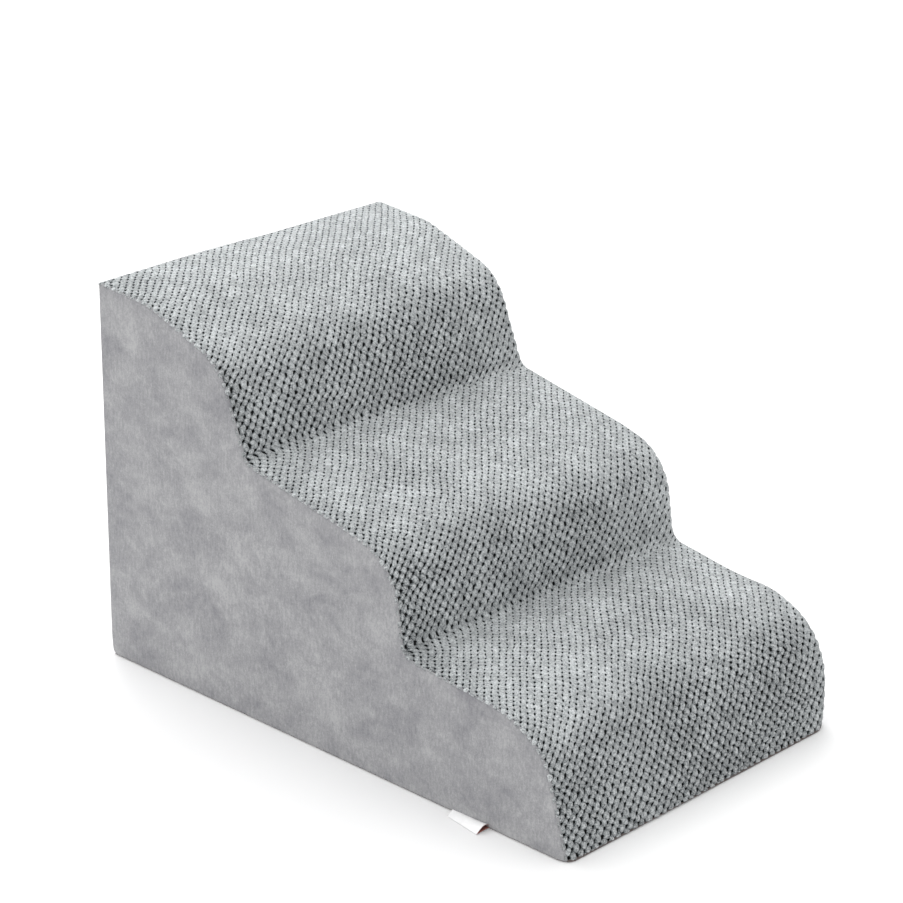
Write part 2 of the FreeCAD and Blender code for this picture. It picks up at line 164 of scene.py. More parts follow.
def kernel_plush():
    """Corn-kernel plush: knitted polyester pile, soft and pale on each kernel, with painted shade near black
    in the pits, seams and creases.

    Reads the knit's two diagonal coordinates and its looseness from the mesh.
    """
    made, tree, shader, where = start("corn_kernel_plush")
    loose = add(tree, "ShaderNodeAttribute", {}, attribute_name="loose").outputs["Fac"]
    # Pile tufts about 1.9 mm across, drawn coarser than the real 0.1 mm fibre so that they show
    tufts = add(tree, "ShaderNodeTexNoise", {
        "Vector": where, "Scale": per(1.9), "Detail": 4, "Roughness": 0.8,
    })
    curls = add(tree, "ShaderNodeTexNoise", {
        "Vector": where, "Scale": per(3.2), "Detail": 3, "Roughness": 0.6,
    })
    # Painted sheen: where the pile was stroked it lies another way, and the light it catches there is painted
    # in as lighter and darker patches about 50 mm across
    stroked_sheen = add(tree, "ShaderNodeTexNoise", {
        "Vector": where, "Scale": per(50), "Detail": 4, "Roughness": 0.6,
    })

    # Distance from the nearest pit along each diagonal, with a ragged edge
    far, whole, shares = [], [], []
    for name, fray in (("diagonal_p", 0.30), ("diagonal_q", 0.22)):
        place = add(tree, "ShaderNodeAttribute", {}, attribute_name=name).outputs["Fac"]
        frayed = add(tree, "ShaderNodeMath", {0: curls, 1: fray, 2: place}, operation="MULTIPLY_ADD")
        settled = add(tree, "ShaderNodeMath", {0: frayed, 1: fray / 2}, operation="SUBTRACT")
        part = add(tree, "ShaderNodeMath", {0: settled}, operation="FRACT")
        far.append(add(tree, "ShaderNodeMath", {0: part, 1: 0.5}, operation="SUBTRACT"))
        whole.append(add(tree, "ShaderNodeMath", {0: place}, operation="ROUND"))
    kernel = add(tree, "ShaderNodeCombineXYZ", {"X": whole[0], "Y": whole[1]})
    tone = add(tree, "ShaderNodeTexWhiteNoise", {"Vector": kernel}, noise_dimensions="3D")

    for distance, narrow, open_up in ((far[0], 0.21, 0.05), (far[1], 0.11, 0.07)):
        size = add(tree, "ShaderNodeMath", {0: loose, 1: open_up, 2: narrow}, operation="MULTIPLY_ADD")
        shares.append(add(tree, "ShaderNodeMath", {0: distance, 1: size}, operation="DIVIDE"))
    ellipse = add(tree, "ShaderNodeCombineXYZ", {"X": shares[0], "Y": shares[1]})
    away = add(tree, "ShaderNodeVectorMath", {0: ellipse}, operation="LENGTH")
    # Painted shade: near black in each pit, fading out towards the top of the kernel
    dark = add(tree, "ShaderNodeMapRange", {
        "Value": away.outputs["Value"], "From Min": 0.5, "From Max": 1.6, "To Min": 1.0, "To Max": 0.0,
    }, interpolation_type="SMOOTHSTEP")
    # Painted shade in the seams between kernels: one diagonal shows on the treads, both on the loose risers
    for distance, width, firm, slack in ((far[1], 0.12, 0.08, 0.30), (far[0], 0.11, 0.02, 0.34)):
        plain = add(tree, "ShaderNodeMath", {0: distance}, operation="ABSOLUTE")
        seam = add(tree, "ShaderNodeMapRange", {
            "Value": plain, "From Min": 0.0, "From Max": width, "To Min": 1.0, "To Max": 0.0,
        }, interpolation_type="SMOOTHSTEP")
        share = add(tree, "ShaderNodeMath", {0: loose, 1: slack, 2: firm}, operation="MULTIPLY_ADD")
        seam = add(tree, "ShaderNodeMath", {0: seam, 1: share}, operation="MULTIPLY")
        dark = add(tree, "ShaderNodeMath", {0: dark, 1: seam}, operation="MAXIMUM")
    # Painted shade in thin creases between the curled tufts of one kernel, deeper where the knit is loose
    from_crease = add(tree, "ShaderNodeMath", {0: curls, 1: 0.5}, operation="SUBTRACT")
    from_crease = add(tree, "ShaderNodeMath", {0: from_crease}, operation="ABSOLUTE")
    crease_shade = add(tree, "ShaderNodeMapRange", {
        "Value": from_crease, "From Min": 0.0, "From Max": 0.04, "To Min": 1.0, "To Max": 0.0,
    }, interpolation_type="SMOOTHSTEP")
    share = add(tree, "ShaderNodeMath", {0: loose, 1: 0.26, 2: 0.13}, operation="MULTIPLY_ADD")
    crease_shade = add(tree, "ShaderNodeMath", {0: crease_shade, 1: share}, operation="MULTIPLY")
    dark = add(tree, "ShaderNodeMath", {0: dark, 1: crease_shade}, operation="MAXIMUM")
    # The tufts speckle the pile's tone, and the painted shade of pits, seams and creases takes it down to
    # near black
    speckle_and_shade = add(tree, "ShaderNodeMath", {0: tufts, 1: -1.65, 2: dark}, operation="MULTIPLY_ADD")
    eased = add(tree, "ShaderNodeMath", {0: speckle_and_shade, 1: 0.93}, operation="ADD")
    pile = add(tree, "ShaderNodeValToRGB", {"Fac": eased}, stops=[
        (0.00, "#c8cbcc"), (0.19, "#a5a9aa"), (0.36, "#8a8e90"),
        (0.58, "#565b5d"), (0.82, "#1d2021"), (1.00, "#0a0b0b"),
    ])
    # Each kernel differs a little in tone, and each stroked patch carries its painted sheen
    lift = add(tree, "ShaderNodeMath", {0: tone, 1: 0.26, 2: 0.87}, operation="MULTIPLY_ADD")
    sheen_sweep = add(tree, "ShaderNodeMath", {0: stroked_sheen, 1: 0.6, 2: 0.70}, operation="MULTIPLY_ADD")
    both = add(tree, "ShaderNodeMath", {0: lift, 1: sheen_sweep}, operation="MULTIPLY")
    sunk = add(tree, "ShaderNodeBump", {"Height": dark, "Strength": 0.8, "Distance": 0.9 * MM}, invert=True)
    bump = add(tree, "ShaderNodeBump", {
        "Height": tufts, "Strength": 0.9, "Distance": 1.2 * MM, "Normal": sunk,
    })
    put(tree, shader, {
        "Base Color": add(tree, "ShaderNodeVectorMath", {0: pile, 1: both}, operation="MULTIPLY"),
        "Normal": bump, "Roughness": 0.92, "Specular IOR Level": 0.12,
        "Sheen Weight": 0.12, "Sheen Roughness": 0.45, "Sheen Tint": linear("#dfe4e6"),
    })
    return made


def micro_suede():
    """Brushed polyester suede: a short even nap, cloudy where it has been stroked, no gloss."""
    made, tree, shader, where = start("brushed_micro_suede")
    # Stroke marks 30 to 60 mm across, a little longer along the floor than they are high
    stretch = add(tree, "ShaderNodeMapping", {"Vector": where, "Scale": (1.0, 0.7, 1.0)})
    clouds = add(tree, "ShaderNodeTexNoise", {
        "Vector": stretch, "Scale": per(36), "Detail": 6, "Roughness": 0.72, "Distortion": 0.3,
    })
    # The knit under the nap, a faint upright hatch about 3 mm apart
    upright = add(tree, "ShaderNodeMapping", {"Vector": where, "Scale": (1.0, 1.0, 0.35)})
    hatch = add(tree, "ShaderNodeTexNoise", {
        "Vector": upright, "Scale": per(3), "Detail": 3, "Roughness": 0.6,
    })
    nap = add(tree, "ShaderNodeTexNoise", {
        "Vector": where, "Scale": per(1.6), "Detail": 3, "Roughness": 0.7,
    })
    mixed = add(tree, "ShaderNodeMath", {0: hatch, 1: 0.45, 2: clouds}, operation="MULTIPLY_ADD")
    grain = add(tree, "ShaderNodeMath", {0: nap, 1: 0.60, 2: mixed}, operation="MULTIPLY_ADD")
    eased = add(tree, "ShaderNodeMath", {0: grain, 1: 0.5}, operation="MULTIPLY")
    colour = add(tree, "ShaderNodeValToRGB", {"Fac": eased}, stops=[
        (0.40, "#7c7c80"), (0.51, "#8f8f91"), (0.62, "#a2a2a3"),
    ])
    bump = add(tree, "ShaderNodeBump", {"Height": nap, "Strength": 0.3, "Distance": 0.25 * MM})
    put(tree, shader, {
        "Base Color": colour, "Normal": bump, "Roughness": 0.95,
        "Specular IOR Level": 0.12, "Sheen Weight": 0.12, "Sheen Roughness": 0.5,
    })
    return made


def grip_cloth():
    """Coated non-slip base cloth: dark brown-grey plain weave, slightly rubbery."""
    made, tree, shader, where = start("grip_base_cloth")
    # Plain weave, threads 0.8 mm apart
    warp = add(tree, "ShaderNodeTexWave", {"Vector": where, "Scale": wave(0.8)}, bands_direction="X")
    weft = add(tree, "ShaderNodeTexWave", {"Vector": where, "Scale": wave(0.8)}, bands_direction="Y")
    weave = add(tree, "ShaderNodeMath", {
        0: warp.outputs["Fac"], 1: weft.outputs["Fac"],
    }, operation="MULTIPLY")
    mottle = add(tree, "ShaderNodeTexNoise", {"Vector": where, "Scale": per(6), "Detail": 3})
    blend = add(tree, "ShaderNodeMath", {0: weave, 1: 0.5, 2: mottle}, operation="MULTIPLY_ADD")
    colour = add(tree, "ShaderNodeValToRGB", {"Fac": blend}, stops=[(0.3, "#4d4542"), (0.9, "#6f6764")])
    bump = add(tree, "ShaderNodeBump", {"Height": weave, "Strength": 0.5, "Distance": 0.2 * MM})
    put(tree, shader, {"Base Color": colour, "Normal": bump, "Roughness": 0.8})
    return made


def grip_vinyl():
    """Soft vinyl dots, moulded onto the base cloth: dark, smooth, faintly glossy."""
    made, tree, shader, where = start("soft_vinyl_dots")
    dust = add(tree, "ShaderNodeTexNoise", {"Vector": where, "Scale": per(8), "Detail": 3})
    colour = add(tree, "ShaderNodeValToRGB", {"Fac": dust}, stops=[(0.35, "#242223"), (0.7, "#3c393a")])
    put(tree, shader, {"Base Color": colour, "Roughness": 0.5, "IOR": 1.52})
    return made


def twill():
    """Woven polyester zip tape: fine slanting ribs, 0.9 mm apart."""
    made, tree, shader, where = start("zip_tape_twill")
    turned = add(tree, "ShaderNodeMapping", {"Vector": where, "Rotation": (0.0, math.radians(45), 0.0)})
    ribs = add(tree, "ShaderNodeTexWave", {"Vector": turned, "Scale": wave(0.9)}, bands_direction="X")
    fuzz = add(tree, "ShaderNodeTexNoise", {"Vector": where, "Scale": per(0.6), "Detail": 3})
    blend = add(tree, "ShaderNodeMath", {
        0: ribs.outputs["Fac"], 1: 0.6, 2: fuzz,
    }, operation="MULTIPLY_ADD")
    colour = add(tree, "ShaderNodeValToRGB", {"Fac": blend}, stops=[(0.3, "#74777b"), (1.0, "#8e9194")])
    bump = add(tree, "ShaderNodeBump", {
        "Height": ribs.outputs["Fac"], "Strength": 0.4, "Distance": 0.15 * MM,
    })
    put(tree, shader, {"Base Color": colour, "Normal": bump, "Roughness": 0.85})
    return made


def nylon():
    """Extruded nylon wire of the zip's coils: satin, faintly uneven in tone."""
    made, tree, shader, where = start("nylon_coil")
    wear = add(tree, "ShaderNodeTexNoise", {"Vector": where, "Scale": per(5), "Detail": 4})
    colour = add(tree, "ShaderNodeValToRGB", {"Fac": wear}, stops=[(0.3, "#7b7e82"), (0.7, "#8d9093")])
    put(tree, shader, {"Base Color": colour, "Roughness": 0.42, "IOR": 1.53})
    return made


def cast_zinc():
    """Die-cast zinc with a nickel plate: grey, satin, a little darker where fingers rub it."""
    made, tree, shader, where = start("nickel_plated_zinc")
    wear = add(tree, "ShaderNodeTexNoise", {
        "Vector": where, "Scale": per(4), "Detail": 5, "Roughness": 0.6,
    })
    rubbed = add(tree, "ShaderNodeMapRange", {"Value": wear, "To Min": 0.28, "To Max": 0.45})
    colour = add(tree, "ShaderNodeValToRGB", {"Fac": wear}, stops=[(0.3, "#8d8d8f"), (0.7, "#b4b4b6")])
    # Tumbling marks under the plate
    marks = add(tree, "ShaderNodeTexNoise", {
        "Vector": where, "Scale": per(0.8), "Detail": 4, "Roughness": 0.6,
    })
    bump = add(tree, "ShaderNodeBump", {"Height": marks, "Strength": 0.25, "Distance": 0.08 * MM})
    put(tree, shader, {"Base Color": colour, "Normal": bump, "Roughness": rubbed, "Metallic": 1.0})
    return made


def sewing_thread():
    """Spun polyester thread, two plies twisted together."""
    made, tree, shader, where = start("polyester_thread")
    turned = add(tree, "ShaderNodeMapping", {"Vector": where, "Rotation": (0.0, math.radians(35), 0.0)})
    ply = add(tree, "ShaderNodeTexWave", {"Vector": turned, "Scale": wave(0.5)}, bands_direction="X")
    colour = add(tree, "ShaderNodeValToRGB", {"Fac": ply.outputs["Fac"]}, stops=[
        (0.1, "#86888c"), (0.8, "#a3a5a8"),
    ])
    put(tree, shader, {"Base Color": colour, "Roughness": 0.6, "Sheen Weight": 0.2})
    return made


def satin_ribbon(name, light, dark):
    """Woven satin label ribbon: close parallel threads with a soft shine."""
    made, tree, shader, where = start(name)
    threads = add(tree, "ShaderNodeTexWave", {"Vector": where, "Scale": wave(0.5)}, bands_direction="Y")
    shade = add(tree, "ShaderNodeTexNoise", {"Vector": where, "Scale": per(9), "Detail": 3})
    blend = add(tree, "ShaderNodeMath", {
        0: threads.outputs["Fac"], 1: 0.2, 2: shade,
    }, operation="MULTIPLY_ADD")
    colour = add(tree, "ShaderNodeValToRGB", {"Fac": blend}, stops=[(0.3, dark), (0.85, light)])
    bump = add(tree, "ShaderNodeBump", {
        "Height": threads.outputs["Fac"], "Strength": 0.25, "Distance": 0.1 * MM,
    })
    put(tree, shader, {"Base Color": colour, "Normal": bump, "Roughness": 0.45, "Sheen Weight": 0.2})
    return made


def foam(name, light, dark, cell_mm):
    """Open-cell polyurethane foam: a matt sponge with cells a millimetre or so across."""
    made, tree, shader, where = start(name)
    cells = add(tree, "ShaderNodeTexVoronoi", {"Vector": where, "Scale": per(cell_mm)})
    bump = add(tree, "ShaderNodeBump", {"Height": cells, "Strength": 0.5, "Distance": 0.4 * MM})
    colour = add(tree, "ShaderNodeValToRGB", {"Fac": cells}, stops=[(0.1, dark), (0.6, light)])
    put(tree, shader, {"Base Color": colour, "Normal": bump, "Roughness": 0.95})
    return made


def floor_paint():
    """Pale studio floor: matt white paint, barely mottled."""
    made, tree, shader, where = start("matt_studio_floor")
    mottle = add(tree, "ShaderNodeTexNoise", {"Vector": where, "Scale": per(600), "Detail": 2})
    colour = add(tree, "ShaderNodeValToRGB", {"Fac": mottle}, stops=[(0.2, "#f4f4f4"), (0.8, "#f8f8f8")])
    put(tree, shader, {"Base Color": colour, "Roughness": 0.9})
    return made


# ---- Pieces ----


def piece(name, points, faces, material, stands_for=()):
    """A piece of the stair itself, from its points and faces."""
    mesh = bpy.data.meshes.new(name)
    mesh.from_pydata([tuple(p) for p in points], [], [tuple(f) for f in faces])
    mesh.validate()
    return finish_piece(name, mesh, [material], ROOT, stands_for)


def finish_piece(name, mesh, materials, body, stands_for):
    """Turns a mesh into a smooth piece with its materials, body and replaced nodes."""
    for material in materials:
        mesh.materials.append(material)
    mesh.shade_smooth()
    mesh.update()
    made = bpy.data.objects.new(name, mesh)
    bpy.context.collection.objects.link(made)
    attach(made, body)
    if stands_for:
        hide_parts(*stands_for)
    return made


def to_mesh(bm, name):
    """A new mesh from an edited one."""
    mesh = bpy.data.meshes.new(name)
    bm.to_mesh(mesh)
    bm.free()
    return mesh


def grid_mesh(name, points):
    """A quad mesh over an (m, n, 3) array of points, facing along (first axis) x (second axis)."""
    rows, columns = points.shape[:2]
    index = np.arange(rows * columns).reshape(rows, columns)
    quads = np.stack([index[:-1, :-1], index[1:, :-1], index[1:, 1:], index[:-1, 1:]], axis=-1).reshape(-1, 4)
    mesh = bpy.data.meshes.new(name)
    mesh.vertices.add(rows * columns)
    mesh.vertices.foreach_set("co", points.reshape(-1).astype(np.float32))
    mesh.loops.add(quads.size)
    mesh.loops.foreach_set("vertex_index", quads.reshape(-1).astype(np.int32))
    mesh.polygons.add(len(quads))
    mesh.polygons.foreach_set("loop_start", np.arange(0, quads.size, 4, dtype=np.int32))
    mesh.update(calc_edges=True)
    return mesh


def put_attribute(mesh, name, values):
    """Stores one number for each point of a mesh, for its material to read."""
    made = mesh.attributes.new(name, "FLOAT", "POINT")
    made.data.foreach_set("value", values.reshape(-1).astype(np.float32))


# ---- The stepped outline ----


def outline_corners():
    """Corners of the stepped outline in (y, z), each with its rounding, from the front foot up."""
    feet = [
        (FRONT, 0.0),
        (FRONT + FIRST_RUN, FIRST_RISE),
        ((BACK + FRONT + FIRST_RUN) / 2, (HEIGHT + FIRST_RISE) / 2),
        (BACK, HEIGHT),
    ]
    corners = [(FRONT + BASE_TOP * math.tan(math.radians(LEANS[0])), BASE_TOP, 0.0)]
    for foot, nxt, lean, brow, tread, flat in zip(feet, feet[1:], LEANS, BROWS, TREADS, FLATS):
        lean, brow, tread = (math.radians(a) for a in (lean, brow, tread))
        brow_y = nxt[0] - flat * math.cos(tread)
        brow_z = nxt[1] - flat * math.sin(tread)
        # The nose is where the riser's line meets the line that slopes down from the brow
        rise = brow_z - foot[1] - (brow_y - foot[0]) * math.tan(brow)
        up = rise / (1.0 - math.tan(lean) * math.tan(brow))
        corners.append((foot[0] + up * math.tan(lean), foot[1] + up, NOSE_RADIUS))
        corners.append((brow_y, brow_z, BROW_RADIUS))
        corners.append((nxt[0], nxt[1], VALLEY_RADIUS))
    corners[-1] = (BACK, HEIGHT, 0.0)
    return corners


def round_outline(corners, step=0.4 * MM):
    """The outline with its corners rounded, as points about one step apart."""
    path = [np.array(corners[0][:2])]
    for before, corner, after in zip(corners, corners[1:], corners[2:]):
        here = np.array(corner[:2])
        u = np.array(before[:2]) - here
        w = np.array(after[:2]) - here
        u /= np.linalg.norm(u)
        w /= np.linalg.norm(w)
        half = math.acos(np.clip(u @ w, -1, 1)) / 2
        radius = corner[2]
        reach = radius / math.tan(half)
        middle = here + (u + w) / np.linalg.norm(u + w) * radius / math.sin(half)
        a, b = here + u * reach - middle, here + w * reach - middle
        turn = math.atan2(a[0] * b[1] - a[1] * b[0], a @ b)
        for t in np.linspace(0.0, 1.0, max(6, int(abs(turn) * radius / step))):
            c, s = math.cos(turn * t), math.sin(turn * t)
            path.append(middle + np.array([a[0] * c - a[1] * s, a[0] * s + a[1] * c]))
    path.append(np.array(corners[-1][:2]))
    path = np.array(path)
    run = np.concatenate([[0], np.cumsum(np.linalg.norm(np.diff(path, axis=0), axis=1))])
    even = np.linspace(0, run[-1], int(run[-1] / step))
    return even, np.stack([np.interp(even, run, path[:, 0]), np.interp(even, run, path[:, 1])], axis=1)


CORNERS = outline_corners()
RUN, OUTLINE = round_outline(CORNERS)
TOTAL = RUN[-1]


def along(s):
    """Points (y, z) and outward normals of the outline at distances s from its front foot."""
    y = np.interp(s, RUN, OUTLINE[:, 0])
    z = np.interp(s, RUN, OUTLINE[:, 1])
    slope = np.gradient(OUTLINE, RUN, axis=0)
    # Normals eased over 6 mm each way so that they turn smoothly where a line meets an arc
    reach = 15
    window = np.ones(2 * reach + 1) / (2 * reach + 1)
    soft = np.stack([
        np.convolve(np.pad(slope[:, k], reach, mode="edge"), window, "valid") for k in (0, 1)
    ], axis=1)
    soft /= np.linalg.norm(soft, axis=1)[:, None]
    ty = np.interp(s, RUN, soft[:, 0])
    tz = np.interp(s, RUN, soft[:, 1])
    return np.stack([y, z], axis=-1), np.stack([-tz, ty], axis=-1)


def corner_run(number):
    """Distance along the outline of the point nearest a corner."""
    corner = np.array(CORNERS[number][:2])
    return RUN[np.argmin(np.linalg.norm(OUTLINE - corner, axis=1))]


VALLEYS = [corner_run(i) for i in (3, 6)]
NORMALS = along(RUN)[1]

# ---- How the step panel swells over the foam, from a cloth simulation ----

SWELL_COLUMNS = 32
SWELL_ROWS = 72
SWELL_FRAMES = 20


def swell_grid():
    """Outward swell of the step panel over its outline, from a cloth simulation.

    The panel is built coarsely and inflated a little with its seams held, so the cloth bridges the
    valleys and crowns between the seams. Returned with the grid's places across and along it.
    """
    xs = np.linspace(-HALF_WIDTH, HALF_WIDTH, SWELL_COLUMNS + 1)
    ss = np.linspace(0, TOTAL, SWELL_ROWS + 1)
    flat, normal = along(ss)

    points = np.zeros((len(xs), len(ss), 3))
    points[..., 0] = xs[:, None]
    points[..., 1] = flat[None, :, 0]
    points[..., 2] = flat[None, :, 1]
    mesh = grid_mesh("swell", points)
    cloth_object = bpy.data.objects.new("swell", mesh)
    bpy.context.collection.objects.link(cloth_object)
    held = cloth_object.vertex_groups.new(name="held")
    index = np.arange(len(xs) * len(ss)).reshape(len(xs), len(ss))
    border = np.concatenate([index[0], index[-1], index[:, 0], index[:, -1]])
    held.add([int(i) for i in np.unique(border)], 1.0, "REPLACE")
    modifier = cloth_object.modifiers.new("cloth", "CLOTH")
    for key, value in {
        "quality": 6, "mass": 0.2, "tension_stiffness": 40, "compression_stiffness": 40,
        "shear_stiffness": 10, "bending_stiffness": 4, "air_damping": 6, "vertex_group_mass": "held",
        "use_pressure": True, "uniform_pressure_force": 4.0, "shrink_min": 0.004,
    }.items():
        setattr(modifier.settings, key, value)
    modifier.settings.effector_weights.gravity = 0
    modifier.collision_settings.use_collision = False
    modifier.point_cache.frame_start = 1
    modifier.point_cache.frame_end = SWELL_FRAMES
    scene = bpy.context.scene
    for number in range(1, SWELL_FRAMES + 1):
        scene.frame_set(number)
    settled = cloth_object.evaluated_get(bpy.context.evaluated_depsgraph_get()).to_mesh()
    after = np.zeros(len(settled.vertices) * 3, np.float32)
    settled.vertices.foreach_get("co", after)
    after = after.reshape(points.shape)
    moved = after - points
    outward = moved[..., 1] * normal[None, :, 0] + moved[..., 2] * normal[None, :, 1]
    scene.frame_set(1)
    bpy.data.objects.remove(cloth_object)
    bpy.data.meshes.remove(mesh)
    return xs, ss, np.clip(outward, 0, None)


def grid_lookup(xs, ss, values, x, s):
    """Smooth lookup of a coarse grid's values at the points of a finer one."""

    def weights(coarse, fine):
        """Cubic B-spline weights, which also smooth the simulation's small ripples."""
        spacing = coarse[1] - coarse[0]
        place = np.clip((fine - coarse[0]) / spacing, 0, len(coarse) - 1 - 1e-9)
        low = place.astype(int)
        t = place - low
        picks = np.clip(low[:, None] + np.arange(-1, 3), 0, len(coarse) - 1)
        basis = np.stack([
            (1 - t) ** 3 / 6,
            (3 * t ** 3 - 6 * t ** 2 + 4) / 6,
            (-3 * t ** 3 + 3 * t ** 2 + 3 * t + 1) / 6,
            t ** 3 / 6,
        ], axis=1)
        matrix = np.zeros((len(fine), len(coarse)))
        for k in range(4):
            np.add.at(matrix, (np.arange(len(fine)), picks[:, k]), basis[:, k])
        return matrix

    return weights(xs, x) @ values @ weights(ss, s).T


# ---- Step panel: corn-kernel plush ----

# Width of a kernel and distance between rows, in millimetres
KERNEL_X = 9.6
ROW_ON_TREAD = 4.5
ROW_ON_RISER = 5.7
# Half sizes of a pit along its two diagonals, as shares of a kernel
PIT_LONG = 0.20
PIT_SHORT = 0.10
SAMPLE_X = 1.1 * MM
SAMPLE_S = 1.05 * MM
PLUSH_INSET = 0.7 * MM
SEAM_ROLL = 4.0 * MM


def smooth_noise(shape, cells, amount):
    """Low-frequency random field over a grid, between about -amount and amount."""
    # The lookup flattens its grid, so the draws are made 1.6 times larger
    coarse = rng.uniform(-amount, amount, (cells[0] + 4, cells[1] + 4)) * 1.6
    grid = [np.linspace(-1, count + 2, count + 4) for count in cells]
    fine = [np.linspace(0, count, size) for count, size in zip(cells, shape)]
    return grid_lookup(*grid, coarse, *fine)


def steepness(s):
    """1 where the cloth stands up in a riser, 0 where it lies in a tread."""
    normal = along(s)[1]
    return np.clip((0.93 - normal[:, 1]) / 0.45, 0, 1)


def belly(x, s):
    """How far the cloth stands off its outline towards the right seam.

    There the cover is slack: it bellies out low on the front and sinks behind the first nose.
    """
    reach = np.clip((x / HALF_WIDTH + 0.2) / 1.2, 0, 1)
    out = 6.5 * np.exp(-((s / MM - 62) / 36) ** 2) - 4.5 * np.exp(-((s / MM - 200) / 55) ** 2)
    return reach ** 1.5 * out * MM


def kernel_field(x, s):
    """The knit at every point: its two diagonal coordinates, looseness and pile height.

    Kernels sit where both diagonals are whole numbers and pits where both are halves. The cloth is
    stretched over the noses and risers, so there the rows are further apart and the pits open.
    """
    shape = (len(x), len(s))
    steep = steepness(s)
    per_kernel = (int(2 * HALF_WIDTH / MM / KERNEL_X), int(TOTAL / MM / ROW_ON_TREAD))
    # Slack along the left seam, drawn tight along the right one
    seams = 0.75 * np.exp(-(HALF_WIDTH + x) / (16 * MM)) - 0.4 * np.exp(-(HALF_WIDTH - x) / (45 * MM))
    # Looser knit low on the front: deeper relief and wider pits, whose painted shade also makes the lower
    # front darker
    low_front_slack_and_shade = 0.4 * np.exp(-(s / (65 * MM)) ** 2)
    loose = 0.1 + seams[:, None] + (0.72 * steep + low_front_slack_and_shade)[None, :] + smooth_noise(shape, (10, 22), 0.25)
    loose = np.clip(loose + smooth_noise(shape, per_kernel, 0.18), 0.0, 1.2)
    stray = 0.7 + 0.6 * loose
    pitch = ROW_ON_TREAD + (ROW_ON_RISER - ROW_ON_TREAD) * steep
    rows = np.concatenate([[0], np.cumsum(np.diff(s) / MM / (0.5 * (pitch[1:] + pitch[:-1])))])
    u = x[:, None] / MM / (KERNEL_X * (1 + 0.06 * steep[None, :]))
    u = u + smooth_noise(shape, (8, 18), 0.25) + smooth_noise(shape, per_kernel, 0.12) * stray
    v = rows[None, :] + smooth_noise(shape, (8, 18), 0.5) + smooth_noise(shape, per_kernel, 0.26) * stray
    p, q = u + v / 2, u - v / 2
    # Distances from the nearest pit, along the open diagonal and across it
    far_p, far_q = p - np.floor(p) - 0.5, q - np.floor(q) - 0.5
    away = np.hypot(far_p / (PIT_LONG + 0.06 * loose), far_q / (PIT_SHORT + 0.07 * loose))
    pit = np.exp(-away ** 2.5)
    groove = (
        np.exp(-(far_q / 0.13) ** 2) * (0.10 + 0.32 * loose)
        + np.exp(-(far_p / 0.12) ** 2) * (0.02 + 0.22 * loose)
    )
    crown = ((0.5 - np.abs(far_p)) ** 2 + (0.5 - np.abs(far_q)) ** 2) * (0.4 + 1.3 * loose)
    height = np.clip(1 - crown - groove, 0, 1) * (1 - pit)
    height = height + rng.uniform(-0.05, 0.05, shape)
    return p, q, loose, height


def plush_panel(material, coarse_swell):
    """The step panel in three pieces, parted in the valleys, with every kernel as real relief."""
    width = HALF_WIDTH - PLUSH_INSET
    x = np.linspace(-width, width, int(2 * width / SAMPLE_X) + 1)
    s = np.linspace(0, TOTAL, int(TOTAL / SAMPLE_S) + 1)
    p, q, loose, height = kernel_field(x, s)
    swell = grid_lookup(*coarse_swell, x, s) + belly(x[:, None], s[None, :])
    # Broad slack waves of the cover, some 100 mm across, none at the seams
    held = 1 - (x[:, None] / HALF_WIDTH) ** 4
    swell = swell + np.clip(smooth_noise((len(x), len(s)), (5, 12), 1.0) + 0.4, 0, 1.5) * 1.6 * MM * held
    base, normal = along(s)
    edge = np.clip((HALF_WIDTH - np.abs(x)) / SEAM_ROLL, 0, 1)[:, None]
    rear_edge = np.clip((TOTAL - s) / SEAM_ROLL, 0, 1)[None, :]
    # The cloth rolls down into the side seams and the rear one
    nearest = np.minimum(edge, rear_edge)
    roll = SEAM_ROLL * 0.6 * (1 - np.sqrt(1 - (1 - nearest) ** 2 * 0.999))
    relief = (1.1 + 1.7 * loose) * MM
    out = swell - relief * (0.93 - height) - roll
    points = np.zeros((len(x), len(s), 3))
    # Kernels beside the seam bulge over it
    lean = (height - 0.3) * (1 - edge) * np.where(x < 0, -3.0, 1.0)[:, None] * MM
    points[..., 0] = x[:, None] + lean
    points[..., 1] = base[None, :, 0] + normal[None, :, 0] * out
    points[..., 2] = base[None, :, 1] + normal[None, :, 1] * out
    points = soften_corners(points.reshape(-1, 3)).reshape(points.shape)
    points[..., 2] = np.maximum(points[..., 2], 0.7 * MM)
    cuts = [0] + [int(round(v / TOTAL * (len(s) - 1))) for v in VALLEYS] + [len(s) - 1]
    made = []
    for number, (first, last) in enumerate(zip(cuts, cuts[1:]), start=1):
        part = slice(first, last + 1)
        name = "plush_step_%d" % number
        mesh = grid_mesh(name, points[:, part])
        for key, values in (("diagonal_p", p), ("diagonal_q", q), ("loose", loose)):
            put_attribute(mesh, key, values[:, part])
        made.append(finish_piece(name, mesh, [material], ROOT, ("tread_panel",)))
    return made


